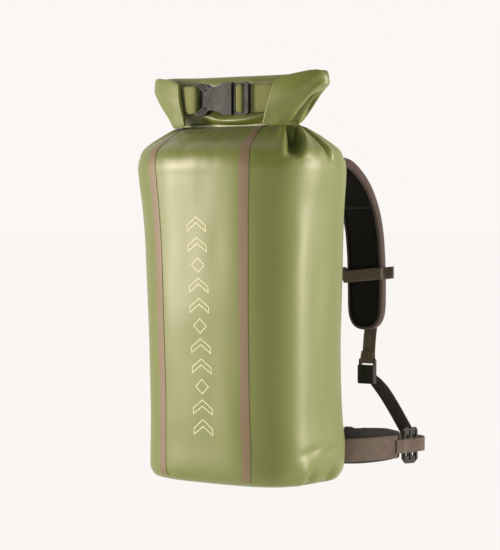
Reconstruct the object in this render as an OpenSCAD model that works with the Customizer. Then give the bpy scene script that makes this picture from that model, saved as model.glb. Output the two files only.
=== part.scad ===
// Roll-top dry bag backpack: welded tube bag, rolled mouth with a buckled strap, and a back harness.
// Millimetres. +Z up, origin on the ground under the middle of the bag. Front is -Y, harness is +Y.

/* [Bag] */
// Wall thickness of the coated fabric, doubled at the welds
wall = 2; // [1.2:0.1:3]
// Half width of the seam tapes on the front
tape_half_angle = 2.6; // [2:0.1:4]
// Thickness of the seam tapes
tape_thick = 0.8; // [0.4:0.1:1.5]

/* [Roll closure] */
// Middle height of the closure strap
strap_z = 536; // [530:1:542]
// Height of the closure webbing
strap_wide = 39; // [36:1:40]
// Thickness of all the webbing
web_thick = 1.8; // [1.4:0.1:2.2]
// Distance of the closure buckle in front of the middle
buckle_y = -52; // [-55:1:-50]

/* [Harness] */
// Distance of the shoulder webbing from the middle
web_x = 70; // [66:0.5:72]
// Width of the shoulder webbing
web_wide = 22; // [20:0.5:22]
// Thickness of the shoulder pads
pad_thick = 11; // [8:1:14]
// Height of the sternum strap
sternum_z = 285; // [280:1:290]
// Middle height of the hip belt
hip_z = 34; // [32:1:38]
// Distance of the hip buckle behind the middle
hip_buckle_y = 292; // [288:1:296]

/* [Hidden] */
$fn = 32;
// Bag sections: height, half width, half depth, squareness, middle offset
LEVELS = [
  [8, 129, 98, 3.3, 0],
  [16, 132, 102, 3.3, 1],
  [30, 133.5, 104, 3.2, 2],
  [55, 133.5, 104, 3.2, 2],
  [90, 131.5, 103, 3.2, 0],
  [140, 131, 102, 3.2, -2],
  [190, 131.5, 102.5, 3.2, -3],
  [240, 133, 103.5, 3.2, -4],
  [290, 135, 104, 3.2, -5],
  [340, 138, 105, 3.1, -6],
  [385, 142, 106, 3.0, -8],
  [425, 147.5, 107, 2.9, -10],
  [445, 149, 107, 2.8, -11],
  [462, 145, 102, 2.7, -11],
  [473, 136, 89, 2.6, -11],
  [482, 126, 71, 2.5, -11],
  [489, 117, 53, 2.4, -13],
  [494.5, 110, 34, 2.2, -15],
  [498.5, 105, 12, 2.0, -16]
];
top = len(LEVELS) - 1;
grid = 7.5;
seam_angle = 30;
sternum_y = 221;
// Sizes of the sternum and hip buckles against the closure buckle
small = 0.46;
medium = 0.58;
// Right half of the rolled mouth in plan, from the ear's free end to the middle:
// x, y, half thickness, lower edge, upper edge
ROLL = [
  [79, -51, 3, 507, 559],
  [95, -45.5, 3.6, 503, 565],
  [115, -38, 4, 503, 568],
  [133, -30, 4.4, 513, 570],
  [143, -23, 4.2, 527, 571],
  [147.5, -14, 3.6, 538, 571],
  [142, -6, 4.4, 529, 571],
  [124, -7, 8, 507, 571],
  [100, -11, 11, 499, 570],
  [60, -15, 13, 499, 569],
  [20, -16, 13.5, 499, 569]
];
// Shoulder pad: y, z, inner edge x, outer edge x
PAD = [
  [98, 452.5, 42, 84],
  [126, 447, 39, 93],
  [149, 431, 38, 97],
  [169, 411, 37.5, 98.5],
  [185, 387, 37.5, 98.5],
  [195, 364, 37.5, 98.5],
  [201, 338, 37.5, 98.5],
  [204.5, 305, 37.5, 98.5],
  [206, 265, 37.5, 98.5],
  [206, 236, 38, 98],
  [206, 221, 40.5, 95],
  [206, 210, 47, 88],
  [206, 205, 55, 79]
];
// Hip wing in plan: x, y, lower edge, upper edge
WING = [
  [50, 112, 16, 67],
  [70, 112.5, 15, 67],
  [88, 121.5, 14, 67],
  [101, 141, 13, 66],
  [108.5, 165, 13, 65],
  [114.5, 191, 14, 62],
  [120, 213, 17, 56]
];
// Which piece to show

GREEN = [0.55, 0.6, 0.32];
TAPE = [0.58, 0.49, 0.38];
BROWN = [0.36, 0.3, 0.27];
BLACK = [0.07, 0.07, 0.06];
PLASTIC = [0.3, 0.29, 0.27];

// ---- shared functions ----
// A point on a bag section at an angle, moved out of the surface by o
function bag_xy(s, t, o) = let(
    c = cos(t),
    d = sin(t),
    r = pow(pow(abs(c), s[3]) + pow(abs(d), s[3]), -1 / s[3])
  ) [(s[1] + o) * r * c, (s[2] + o) * r * d + s[4]];
function bag_point(k, t, o) = let(p = bag_xy(LEVELS[k], t, o)) [p[0], p[1], LEVELS[k][0]];
function unit(v) = v / norm(v);
function heading(path, i) = unit(path[min(i + 1, len(path) - 1)] - path[max(i - 1, 0)]);
function flip(path) = [for (i = [len(path) - 1:-1:0]) path[i]];

// Closed solid through rings of equal length, the ends capped as convex faces
module loft(rings) {
  m = len(rings[0]);
  n = len(rings);
  sides = [
    for (i = [0:n - 2]) for (j = [0:m - 1]) let(
        a = i * m + j,
        b = i * m + (j + 1) % m,
        c = b + m,
        d = a + m
      ) each [[a, b, c], [a, c, d]]
  ];
  low = [for (j = [1:m - 2]) [0, j + 1, j]];
  high = [for (j = [1:m - 2]) [(n - 1) * m, (n - 1) * m + j, (n - 1) * m + j + 1]];
  polyhedron([for (r = rings) each r], concat(sides, low, high));
}

// Closed solid through rings that are thin bands: k outer points, then k inner points back again
module skin(rings) {
  m = len(rings[0]);
  n = len(rings);
  k = m / 2;
  e = (n - 1) * m;
  sides = [
    for (i = [0:n - 2]) for (j = [0:m - 1]) let(
        a = i * m + j,
        b = i * m + (j + 1) % m,
        c = b + m,
        d = a + m
      ) each [[a, b, c], [a, c, d]]
  ];
  low = [for (j = [0:k - 2]) each [[j, m - 2 - j, j + 1], [j, m - 1 - j, m - 2 - j]]];
  high = [for (j = [0:k - 2]) each [[e + j, e + j + 1, e + m - 2 - j], [e + j, e + m - 2 - j, e + m - 1 - j]]];
  polyhedron([for (r = rings) each r], concat(sides, low, high));
}

// Part of the bag wall between two angles and two levels, from offset lo out to offset hi
module bag_patch(t0, t1, step, k0, k1, lo, hi) {
  steps = round((t1 - t0) / step);
  skin([
    for (k = [k0:k1]) concat(
      [for (i = [0:steps]) bag_point(k, t0 + (t1 - t0) * i / steps, hi)],
      [for (i = [steps:-1:0]) bag_point(k, t0 + (t1 - t0) * i / steps, lo)]
    )
  ]);
}

// Flat webbing along a path. across is the direction of its width, one for all or one a point
module webbing(path, across, wide, thick = web_thick) {
  loft([
    for (i = [0:len(path) - 1]) let(
        w = unit(is_list(across[0]) ? across[i] : across),
        n = unit(cross(heading(path, i), w)),
        p = path[i],
        a = w * wide / 2,
        b = n * thick / 2
      ) [p + a + b, p - a + b, p - a - b, p + a - b]
  ]);
}

// Rounded bar swept in plan: x, y, half thickness, lower edge, upper edge
module upright_band(path) {
  flat = [for (p = path) [p[0], p[1], 0]];
  loft([
    for (i = [0:len(path) - 1]) let(
        p = path[i],
        n = unit(cross(heading(flat, i), [0, 0, 1])),
        h = p[2],
        r = min(h, 6)
      ) [
        flat[i] + n * h + [0, 0, p[3] + r],
        flat[i] + n * h * 0.6 + [0, 0, p[3] + r * 0.3],
        flat[i] + [0, 0, p[3]],
        flat[i] - n * h * 0.6 + [0, 0, p[3] + r * 0.3],
        flat[i] - n * h + [0, 0, p[3] + r],
        flat[i] - n * h + [0, 0, p[4] - r],
        flat[i] - n * h * 0.6 + [0, 0, p[4] - r * 0.3],
        flat[i] + [0, 0, p[4]],
        flat[i] + n * h * 0.6 + [0, 0, p[4] - r * 0.3],
        flat[i] + n * h + [0, 0, p[4] - r]
      ]
  ]);
}

// Plate cut from a profile in X and Z, standing across Y
module plate(points, thick) {
  rotate([90, 0, 0])
    linear_extrude(thick, center = true)
      polygon(points);
}

module box(low, high) {
  translate(low)
    cube(high - low);
}

// ---- side-release buckle, modelled round its own middle; 39 mm webbing at size 1 ----
module buckle_female() {
  difference() {
    plate([
      [-52, 20], [-49, 22.5], [-34, 22.5], [-28, 20.6], [-23, 16], [-18, 14.6], [-14.5, 16.6], [-1, 17.4],
      [0.5, 21.5], [5, 22.5], [18, 22.5], [18, -22.5], [5, -22.5], [0.5, -21.5], [-1, -17.4],
      [-14.5, -16.6], [-18, -14.6], [-23, -16], [-28, -20.6], [-34, -22.5], [-49, -22.5], [-52, -20]
    ], 12);
    // slot for the webbing, then the hollow between the arms, which has a floor at the back
    box([-48, -7, -19.5], [-44.2, 7, 19.5]);
    translate([0, -1.7, 0])
      plate([[-45, 18.4], [-40, 17], [-33, 11], [-28, 3], [-28, -3], [-33, -11], [-40, -17], [-45, -18.4]], 10.6);
    box([-19, -3.4, -15], [19, 3.4, 15]);
    for (s = [-1, 1])
      box([-15.6, -3.4, s > 0 ? 14 : -19], [-0.4, 3.4, s > 0 ? 19 : -14]);
    for (s = [-1, 1])
      translate([-49.5, s * 6.8, 0])
        cube([7, 10, 60], center = true);
  }
  for (s = [-1, 1]) {
    plate_bar([-43, s * 20], [-29.5, s * 11.5]);
    plate_bar([-36, s * 20.4], [-26.5, s * 13.5]);
  }
  for (z = [-16:4:16])
    box([-24 + abs(z) * 0.5, -6.9, z - 0.5], [-20 + abs(z) * 0.35, -5.5, z + 0.5]);
}

// Raised ridge on the front face between two points in X and Z
module plate_bar(a, b) {
  hull()
    for (p = [a, b])
      translate([p[0], -5.5, p[1]])
        rotate([90, 0, 0])
          cylinder(h = 1.7, r = 1, $fn = 12);
}

module buckle_male() {
  difference() {
    plate([
      [18.6, -21.5], [21, -22.5], [41, -22.5], [45, -20], [45, 20], [41, 22.5], [21, 22.5], [18.6, 21.5]
    ], 6);
    box([22.5, -4, -20], [27.5, 4, 20]);
    box([32, -4, -20], [38.5, 4, 20]);
  }
  box([-12, -2.6, -4], [18.7, 2.6, 4]);
}

module buckle_prong(s) {
  plate([
    [18, s * 9.6], [18, s * 14], [-0.9, s * 14], [-0.9, s * 18.8], [-6, s * 19], [-14.8, s * 15],
    [-14.8, s * 10.4], [-8, s * 9.6]
  ], 6);
}

// Webbing that comes from the left, folds round the bar of a female half and goes back
function fold_left(y, z, s) = concat(
  [for (a = [-90:30:90]) [(-50 + 3.8 * cos(a)) * s, y + 3.8 * s * sin(a), z]],
  [[-56 * s, y + 2.6 * s, z], [-64 * s, y + 2.4 * s, z]]
);

// Webbing that comes from the right, up round the middle bar of a male half and down again
function thread_right(y, z, s) = [
  for (p = [[46, 4.2], [33, 4.2], [26.5, 4.2], [24.9, 2.5], [24.6, 0], [24.9, -2.5], [26.5, -4.2],
    [33, -4.2], [34.6, -2.5], [35.2, 0], [35.2, 2.2]]) [p[0] * s, y + p[1] * s, z]
];

// ---- bag ----
module base_panel() {
  // level and offset of each ring, up the outside and down the inside
  rings = [
    [[0, 116, 82, 3.4, 0], 0],
    [[3, 125, 92, 3.4, 0], 0],
    [LEVELS[0], 0],
    [LEVELS[0], -wall],
    [[3, 125, 92, 3.4, 0], -wall]
  ];
  color(GREEN)
    loft([
      for (r = rings) [for (i = [0:47]) let(p = bag_xy(r[0], i * grid, r[1])) [p[0], p[1], r[0][0]]]
    ]);
}

module front_panel() {
  color(GREEN)
    bag_patch(-90 - seam_angle, -90 + seam_angle, grid, 0, top, -wall, 0);
}

module side_panel_right() {
  color(GREEN)
    bag_patch(-90 + seam_angle, 90 - seam_angle, grid, 0, top, -wall, 0);
}

module side_panel_left() {
  color(GREEN)
    bag_patch(90 + seam_angle, 270 - seam_angle, grid, 0, top, -wall, 0);
}

module back_panel() {
  color(GREEN)
    bag_patch(90 - seam_angle, 90 + seam_angle, grid, 0, top, -wall, 0);
}

module seam_tape(t) {
  color(TAPE)
    bag_patch(t - tape_half_angle, t + tape_half_angle, tape_half_angle, 0, top - 1, 0.15, tape_thick);
}

module seam_tape_left() {
  seam_tape(-90 - seam_angle);
}

module seam_tape_right() {
  seam_tape(-90 + seam_angle);
}

module harness_patch() {
  color(GREEN)
    bag_patch(67.5, 112.5, grid, 10, 12, 0.35, 1.9);
}

module hip_patch() {
  color(GREEN)
    bag_patch(60, 120, grid, 1, 4, 0.35, 1.9);
}

// ---- roll closure ----
module roll_top() {
  color(GREEN)
    difference() {
      upright_band(concat(ROLL, [for (p = flip(ROLL)) [-p[0], p[1], p[2], p[3], p[4]]]));
      box([-96, -15.2, 524], [96, -12.8, 550]);
    }
}

module mouth_stiffener() {
  color(BLACK)
    box([-95.5, -15, 524.3], [95.5, -13, 549.7]);
}

module closure_strap_left() {
  path = concat(
    [[-113, -31, strap_z], [-94, -38.6, strap_z], [-77, -44.6, strap_z], [-62, -51, strap_z]],
    [[-56, -55, strap_z]],
    fold_left(buckle_y, strap_z, 1)
  );
  color(BROWN + [0.2, 0.25, 0.12])
    webbing(path, [0, 0, 1], strap_wide);
}

module closure_strap_right() {
  path = concat(
    [[113, -31, strap_z], [94, -38.6, strap_z], [77, -44.6, strap_z], [60, -47, strap_z]],
    thread_right(buckle_y, strap_z, 1)
  );
  color(BROWN + [0.2, 0.25, 0.12])
    webbing(path, [0, 0, 1], strap_wide);
}

module at_closure() {
  translate([0, buckle_y, strap_z])
    children();
}

module closure_buckle_female() {
  color(PLASTIC)
    at_closure() buckle_female();
}

module closure_buckle_male() {
  color(PLASTIC)
    at_closure() buckle_male();
}

module closure_prong_upper() {
  color(PLASTIC)
    at_closure() buckle_prong(1);
}

module closure_prong_lower() {
  color(PLASTIC)
    at_closure() buckle_prong(-1);
}

// ---- shoulder straps ----
function pad_frame(i) = let(
    path = [for (p = PAD) [0, p[0], p[1]]],
    n = unit(cross([1, 0, 0], heading(path, i)))
  ) [path[i], n];

module pad_layer(lo, hi, inset, from = 0) {
  loft([
    for (i = [from:len(PAD) - 1]) let(
        f = pad_frame(i),
        a = PAD[i][2] + inset,
        b = PAD[i][3] - inset,
        left = len(PAD) - 1 - i,
        down = [0, 0, left == 0 ? inset : left == 1 ? inset / 2 : 0]
      ) [
        f[0] + f[1] * lo + [a, 0, 0] + down,
        f[0] + f[1] * lo + [b, 0, 0] + down,
        f[0] + f[1] * hi + [b, 0, 0] + down,
        f[0] + f[1] * hi + [a, 0, 0] + down
      ]
  ]);
}

module shoulder_pad_right() {
  color(BLACK)
    pad_layer(-pad_thick / 2, pad_thick / 2, 4.4);
}

module pad_mesh_right() {
  color(BLACK)
    pad_layer(-pad_thick / 2 - 1.4, -pad_thick / 2 - 0.1, 5.4);
}

module pad_binding_right() {
  last = len(PAD) - 1;
  edge = concat(
    [for (i = [0:last]) [i, PAD[i][2] + 1.2, 0]],
    [for (i = [last:-1:0]) [i, PAD[i][3] - 1.2, 0]]
  );
  h = pad_thick / 2 + 0.8;
  color(BROWN)
    loft([
      for (k = [0:len(edge) - 1]) let(
          i = edge[k][0],
          f = pad_frame(i),
          side = k <= last ? 1 : -1,
          tip = i == last,
          p = f[0] + [edge[k][1], 0, tip ? 1.2 : 0],
          o = tip ? [side * 1.2, 0, 1.2] : i > last - 3 ? [side * 1.4, 0, 0.8] : [side * 1.5, 0, 0]
        ) [p - o - f[1] * h, p + o - f[1] * h, p + o + f[1] * h, p - o + f[1] * h]
    ]);
}

module shoulder_webbing_right() {
  run = [
    for (i = [6:len(PAD) - 1]) let(f = pad_frame(i))
      [web_x, 0, 0] + f[0] + f[1] * (pad_thick / 2 + 0.8 + web_thick / 2 + 0.3)
  ];
  color(BROWN)
    webbing(concat(run, [
      [web_x, 211, 190], [web_x, 208.9, 170], [web_x, 209, 158.5], [web_x, 207.5, 155.4], [web_x, 205.5, 154.6],
      [web_x, 203.4, 155.4], [web_x, 202.2, 158.5], [web_x, 203.6, 164], [web_x, 205.6, 172]
    ]), [1, 0, 0], web_wide);
}

// Ladder lock: round top bar for the loop, side rails, ribbed front plate and a cross bar behind it
module ladder_lock_right() {
  color(PLASTIC)
    translate([web_x, 205.6, 158]) {
      rotate([0, 90, 0])
        cylinder(h = 26, r = 1.7, center = true);
      for (s = [-1, 1])
        hull()
          for (z = [-31, 0])
            translate([s * 12.6, 0, z])
              rotate([0, 90, 0])
                cylinder(h = 2.6, r = 2.8, center = true);
      box([-12.6, -6, -34], [12.6, -3.4, -6]);
      for (s = [-1, 1])
        box([s * 12.6 - 1.3, -6, -33], [s * 12.6 + 1.3, -1, -7]);
      for (x = [-8:4:8])
        box([x - 0.9, -6.8, -32], [x + 0.9, -5.8, -8]);
      box([-12.6, -0.2, -22], [12.6, 2.8, -17]);
    }
}

module lower_webbing_right() {
  path = [
    [web_x, 203.5, 129], [web_x, 203.5, 140.6], [web_x, 204.6, 142.6], [web_x, 206.8, 143.1],
    [web_x, 209.2, 142.4], [web_x, 211.6, 140], [web_x + 0.3, 215, 135.5], [web_x + 4, 222, 126],
    [85, 229, 109], [99.5, 232, 87], [114, 234, 64]
  ];
  across = [for (i = [0:len(path) - 1]) i < 7 ? [1, 0, 0] : i == 7 ? [0.93, 0.25, 0.28] : [0.72, 0.45, 0.52]];
  color(BROWN * 0.6)
    webbing(path, across, 19);
}

// ---- sternum strap, sliding as one piece on both pads ----
module sternum_keeper_right() {
  color(BROWN)
    difference() {
      box([33.6, 193, sternum_z - 9], [115, 218.6, sternum_z + 9]);
      box([35.4, 194.8, sternum_z - 10], [100.2, 216.8, sternum_z + 10]);
      box([102, 191, sternum_z - 10], [116, 205, sternum_z + 10]);
      box([102, 207, sternum_z - 10], [116, 220, sternum_z + 10]);
    }
}

module at_sternum() {
  translate([0, sternum_y, sternum_z])
    scale(small)
      children();
}

module sternum_strap_left() {
  path = [[-84, 219.3, sternum_z], [-34, 219.3, sternum_z], [-27, 219.25, sternum_z]];
  color(BROWN)
    webbing(concat(path, fold_left(sternum_y, sternum_z, small)), [0, 0, 1], 17, 0.8);
}

module sternum_strap_right() {
  path = [[84, 219.3, sternum_z], [34, 219.3, sternum_z], [28, 220.4, sternum_z]];
  color(BROWN)
    webbing(concat(path, thread_right(sternum_y, sternum_z, small)), [0, 0, 1], 17, 0.8);
}

module sternum_buckle_female() {
  color(PLASTIC)
    at_sternum() buckle_female();
}

module sternum_buckle_male() {
  color(PLASTIC)
    at_sternum() buckle_male();
}

module sternum_prong_upper() {
  color(PLASTIC)
    at_sternum() buckle_prong(1);
}

module sternum_prong_lower() {
  color(PLASTIC)
    at_sternum() buckle_prong(-1);
}

// ---- hip belt ----
module hip_wing_right() {
  color(BLACK)
    upright_band([for (p = WING) [p[0], p[1], 5, p[2], p[3]]]);
}

module hip_band_right() {
  run = [
    for (i = [1:len(WING) - 1]) let(
        flat = [for (p = WING) [p[0], p[1], 0]],
        n = unit(cross(heading(flat, i), [0, 0, 1]))
      ) flat[i] + n * 6.4 + [0, 0, hip_z]
  ];
  color(BROWN)
    webbing(run, [0, 0, 1], 34);
}

module hip_adjuster_right() {
  color(PLASTIC)
    translate([125, 235, hip_z])
      rotate([0, 0, 75]) {
        difference() {
          plate([
            [-14, -20], [-8, -27], [7, -27], [14, -21], [14, 21], [11, 26], [-2, 24.5], [-9, 27], [-14, 24]
          ], 5);
          box([-9.5, -4, -16], [-4, 4, 16]);
          box([3, -4, -16], [9, 4, 16]);
        }
        for (x = [-11.8, -0.6, 11.2])
          for (s = [-1, 1])
            box([x - 1.2, -3.9, s > 0 ? 12 : -22], [x + 1.2, -2.4, s > 0 ? 22 : -12]);
      }
}

module hip_webbing_right() {
  path = [
    [125.4, 199.1, hip_z], [128.8, 212.7, hip_z], [128.8, 221.1, hip_z], [129.9, 231.3, hip_z],
    [132.4, 243, hip_z], [134, 252, hip_z], [132.5, 263, hip_z], [126.5, 273, hip_z], [117, 280.5, hip_z],
    [103, 286.5, hip_z], [84, 290.5, hip_z], [60, 293.2, hip_z], [40, 294.4, hip_z]
  ];
  color(BROWN)
    webbing(concat(path, thread_right(hip_buckle_y, hip_z, medium)), [0, 0, 1], 20, 1);
}

module hip_webbing_left() {
  path = [
    [-125.4, 199.1, hip_z], [-128.8, 212.7, hip_z], [-128.8, 221.1, hip_z], [-129.9, 231.3, hip_z],
    [-132.4, 243, hip_z], [-134, 252, hip_z], [-132.5, 263, hip_z], [-126, 272, hip_z], [-116, 278.5, hip_z],
    [-103, 283, hip_z], [-84, 286.6, hip_z], [-60, 288.8, hip_z], [-38, 289.6, hip_z]
  ];
  color(BROWN)
    webbing(concat(path, fold_left(hip_buckle_y, hip_z, medium)), [0, 0, 1], 20, 1);
}

module at_hip() {
  translate([0, hip_buckle_y, hip_z])
    scale(medium)
      children();
}

module hip_buckle_female() {
  color(PLASTIC)
    at_hip() buckle_female();
}

module hip_buckle_male() {
  color(PLASTIC)
    at_hip() buckle_male();
}

module hip_prong_upper() {
  color(PLASTIC)
    at_hip() buckle_prong(1);
}

module hip_prong_lower() {
  color(PLASTIC)
    at_hip() buckle_prong(-1);
}

// ---- left-hand pieces are mirrored ----
module other_side() {
  mirror([1, 0, 0])
    children();
}

module shoulder_pad_left() {
  other_side() shoulder_pad_right();
}

module pad_mesh_left() {
  other_side() pad_mesh_right();
}

module pad_binding_left() {
  other_side() pad_binding_right();
}

module shoulder_webbing_left() {
  other_side() shoulder_webbing_right();
}

module ladder_lock_left() {
  other_side() ladder_lock_right();
}

module lower_webbing_left() {
  other_side() lower_webbing_right();
}

module sternum_keeper_left() {
  other_side() sternum_keeper_right();
}

module hip_wing_left() {
  other_side() hip_wing_right();
}

module hip_band_left() {
  other_side() hip_band_right();
}

module hip_adjuster_left() {
  other_side() hip_adjuster_right();
}

base_panel();
front_panel();
side_panel_left();
side_panel_right();
back_panel();
seam_tape_left();
seam_tape_right();
roll_top();
mouth_stiffener();
closure_strap_left();
closure_strap_right();
closure_buckle_female();
closure_buckle_male();
closure_prong_upper();
closure_prong_lower();
harness_patch();
hip_patch();
shoulder_pad_left();
shoulder_pad_right();
pad_mesh_left();
pad_mesh_right();
pad_binding_left();
pad_binding_right();
shoulder_webbing_left();
shoulder_webbing_right();
ladder_lock_left();
ladder_lock_right();
lower_webbing_left();
lower_webbing_right();
sternum_keeper_left();
sternum_keeper_right();
sternum_strap_left();
sternum_strap_right();
sternum_buckle_female();
sternum_buckle_male();
sternum_prong_upper();
sternum_prong_lower();
hip_wing_left();
hip_wing_right();
hip_band_left();
hip_band_right();
hip_adjuster_left();
hip_adjuster_right();
hip_webbing_left();
hip_webbing_right();
hip_buckle_female();
hip_buckle_male();
hip_prong_upper();
hip_prong_lower();
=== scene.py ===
import math

import bpy
import numpy as np
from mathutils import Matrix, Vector, noise
from mathutils.kdtree import KDTree


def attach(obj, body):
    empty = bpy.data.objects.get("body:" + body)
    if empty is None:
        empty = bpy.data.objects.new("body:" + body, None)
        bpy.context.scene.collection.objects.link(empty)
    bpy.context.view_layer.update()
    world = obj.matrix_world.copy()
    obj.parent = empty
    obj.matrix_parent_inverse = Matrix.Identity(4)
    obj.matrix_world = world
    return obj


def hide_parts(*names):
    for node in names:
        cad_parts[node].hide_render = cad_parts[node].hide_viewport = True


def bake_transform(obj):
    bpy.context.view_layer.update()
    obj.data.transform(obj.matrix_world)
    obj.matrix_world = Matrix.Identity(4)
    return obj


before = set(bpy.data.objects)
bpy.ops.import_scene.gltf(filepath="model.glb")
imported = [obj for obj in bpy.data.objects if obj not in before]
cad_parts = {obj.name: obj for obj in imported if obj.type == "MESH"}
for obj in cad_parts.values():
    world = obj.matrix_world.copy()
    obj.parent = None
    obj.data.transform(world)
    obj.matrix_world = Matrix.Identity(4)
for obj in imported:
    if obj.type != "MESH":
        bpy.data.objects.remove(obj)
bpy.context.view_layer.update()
MM = 0.001
UP = (0, 0, 1)
ROOT = "bag"

# ---------------------------------------------------------------- camera, light, floor
AZIMUTH = math.radians(37.0)
DISTANCE = 3.05
CAMERA_HEIGHT = 0.388
AIM = Vector((0.0045, 0.0034, 0.2886))


def linear(r, g, b):
    """An sRGB colour out of 255 as linear values."""
    out = []
    for c in (r, g, b):
        c /= 255.0
        out.append(c / 12.92 if c <= 0.04045 else ((c + 0.055) / 1.055) ** 2.4)
    return (*out, 1.0)


PALE = linear(251, 247, 244)


def look_at(obj, target):
    obj.rotation_euler = (Vector(target) - obj.location).to_track_quat("-Z", "Y").to_euler()


def add_camera():
    data = bpy.data.cameras.new("camera")
    data.lens = 140.6
    data.sensor_width = 36.0
    data.clip_end = 50.0
    cam = bpy.data.objects.new("camera", data)
    bpy.context.collection.objects.link(cam)
    cam.location = (
        AIM.x + DISTANCE * math.sin(AZIMUTH),
        AIM.y - DISTANCE * math.cos(AZIMUTH),
        CAMERA_HEIGHT,
    )
    look_at(cam, AIM)
    bpy.context.scene.camera = cam


def add_area(name, location, target, size, power, colour):
    data = bpy.data.lights.new(name, "AREA")
    data.shape = "RECTANGLE"
    data.size, data.size_y = size
    data.energy = power
    data.color = colour
    lamp = bpy.data.objects.new(name, data)
    bpy.context.collection.objects.link(lamp)
    lamp.location = location
    lamp.visible_camera = False
    look_at(lamp, target)


def add_world():
    """A pale studio: brightest behind the bag, dimmer on the camera's side, so that the cloth has shape."""
    world = bpy.data.worlds.new("studio")
    bpy.context.scene.world = world
    world.use_nodes = True
    nodes, links = world.node_tree.nodes, world.node_tree.links
    background = nodes["Background"]
    background.inputs["Color"].default_value = PALE
    away = nodes.new("ShaderNodeVectorMath")
    away.operation = "DOT_PRODUCT"
    links.new(nodes.new("ShaderNodeTexCoord").outputs["Generated"], away.inputs[0])
    away.inputs[1].default_value = (-math.sin(AZIMUTH), math.cos(AZIMUTH), 0.0)
    fade = nodes.new("ShaderNodeMapRange")
    fade.inputs["From Min"].default_value = -0.3
    fade.inputs["From Max"].default_value = 0.75
    fade.inputs["To Min"].default_value = 0.24
    fade.inputs["To Max"].default_value = 1.0
    links.new(away.outputs["Value"], fade.inputs["Value"])
    links.new(fade.outputs["Result"], background.inputs["Strength"])


def paper(name, grey, glow):
    """Matt background paper that shines by itself, so that it stays pale in the shade."""
    mat = bpy.data.materials.new(name)
    mat.use_nodes = True
    bsdf = mat.node_tree.nodes["Principled BSDF"]
    bsdf.inputs["Base Color"].default_value = (grey, grey, grey, 1)
    bsdf.inputs["Roughness"].default_value = 1.0
    bsdf.inputs["Specular IOR Level"].default_value = 0.0
    bsdf.inputs["Emission Color"].default_value = PALE
    bsdf.inputs["Emission Strength"].default_value = glow
    return mat


def add_floor():
    bpy.ops.mesh.primitive_plane_add(size=60, location=(0, 0, -0.0005))
    floor = bpy.context.object
    floor.name = "floor"
    floor.data.materials.append(paper("floor_paper", 0.025, 0.975))


def add_backdrop():
    """A round wall of the floor's colour, far off on every side, that is seen but lights nothing."""
    bpy.ops.mesh.primitive_cylinder_add(vertices=96, radius=28, depth=40, end_fill_type="NOTHING")
    wall = bpy.context.object
    wall.name = "backdrop"
    wall.data.materials.append(paper("backdrop_paper", 0.0, 1.0))
    wall.visible_diffuse = False
    wall.visible_glossy = False
    wall.visible_shadow = False


# ---------------------------------------------------------------- materials
def new_material(name):
    mat = bpy.data.materials.new(name)
    mat.use_nodes = True
    return mat, mat.node_tree.nodes, mat.node_tree.links, mat.node_tree.nodes["Principled BSDF"]


def mixed(nodes, links, factor, a, b, blend="MIX"):
    mix = nodes.new("ShaderNodeMix")
    mix.data_type = "RGBA"
    mix.blend_type = blend
    for socket, value in ((mix.inputs[0], factor), (mix.inputs[6], a), (mix.inputs[7], b)):
        if isinstance(value, (float, tuple)):
            socket.default_value = value
        else:
            links.new(value, socket)
    return mix.outputs[2]


def noise_node(nodes, links, vector, scale, detail=3.0, rough=0.5, stretch=None):
    tex = nodes.new("ShaderNodeTexNoise")
    tex.inputs["Scale"].default_value = scale
    tex.inputs["Detail"].default_value = detail
    tex.inputs["Roughness"].default_value = rough
    if stretch:
        mapping = nodes.new("ShaderNodeMapping")
        mapping.inputs["Scale"].default_value = stretch
        links.new(vector, mapping.inputs["Vector"])
        vector = mapping.outputs["Vector"]
    links.new(vector, tex.inputs["Vector"])
    return tex.outputs["Fac"]


def ramp(nodes, links, value, low, high, a=0.0, b=1.0):
    node = nodes.new("ShaderNodeMapRange")
    node.inputs["From Min"].default_value = low
    node.inputs["From Max"].default_value = high
    node.inputs["To Min"].default_value = a
    node.inputs["To Max"].default_value = b
    links.new(value, node.inputs["Value"])
    return node.outputs["Result"]


def math_node(nodes, links, op, a, b=None):
    node = nodes.new("ShaderNodeMath")
    node.operation = op
    for socket, value in zip(node.inputs, (a, b)):
        if value is None:
            continue
        if isinstance(value, (int, float)):
            socket.default_value = value
        else:
            links.new(value, socket)
    return node.outputs[0]


def bump(nodes, links, bsdf, height, strength, distance, normal=None):
    node = nodes.new("ShaderNodeBump")
    node.inputs["Strength"].default_value = strength
    node.inputs["Distance"].default_value = distance
    links.new(height, node.inputs["Height"])
    if normal is not None:
        links.new(normal, node.inputs["Normal"])
    links.new(node.outputs["Normal"], bsdf.inputs["Normal"])
    return node.outputs["Normal"]


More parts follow.
